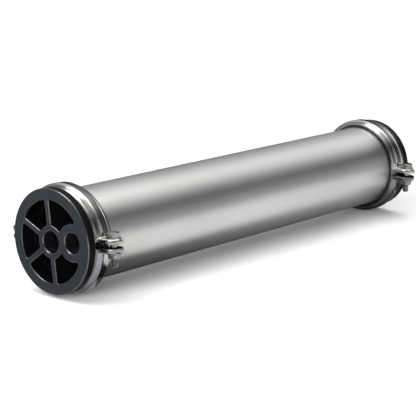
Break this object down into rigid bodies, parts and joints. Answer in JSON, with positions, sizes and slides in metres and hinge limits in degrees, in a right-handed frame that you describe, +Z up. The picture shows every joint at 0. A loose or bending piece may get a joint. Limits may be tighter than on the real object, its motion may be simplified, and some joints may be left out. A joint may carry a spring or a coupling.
{
  "type": "membrane pressure vessel",
  "caption": "Stainless steel pressure vessel for a four inch membrane element, with black ported end caps held by bolted two-part clamps.",
  "frame": {"origin": "middle of the vessel on its axis", "axes": "+X along the vessel's axis to the right-hand end, +Z up, clamp bolts on the -Y and +Y sides"},
  "size_m": [0.6012, 0.1666, 0.1244],
  "materials": {
    "tube_steel": "satin stainless steel, brushed round the tube",
    "ring_steel": "turned stainless steel",
    "clamp_steel": "pressed stainless steel, polished",
    "fastener_steel": "plain stainless steel",
    "cap_plastic": "moulded black plastic with a fine matt grain",
    "adapter_plastic": "moulded black plastic",
    "seal_rubber": "smooth rubber"
  },
  "bodies": {
    "root": {"vessel_tube": "tube_steel", "left_end_ring": "ring_steel", "left_end_cap": "cap_plastic", "left_cap_seal": "seal_rubber", "left_permeate_adapter": "adapter_plastic", "left_adapter_seal": "seal_rubber", "left_clamp_upper": "clamp_steel", "left_clamp_lower": "clamp_steel", "left_clamp_bolts": "fastener_steel", "left_clamp_nuts": "fastener_steel", "left_clamp_washers": "fastener_steel", "right_end_ring": "ring_steel", "right_end_cap": "cap_plastic", "right_cap_seal": "seal_rubber", "right_permeate_adapter": "adapter_plastic", "right_adapter_seal": "seal_rubber", "right_clamp_upper": "clamp_steel", "right_clamp_lower": "clamp_steel", "right_clamp_bolts": "fastener_steel", "right_clamp_nuts": "fastener_steel", "right_clamp_washers": "fastener_steel"}
  },
  "joints": []
}
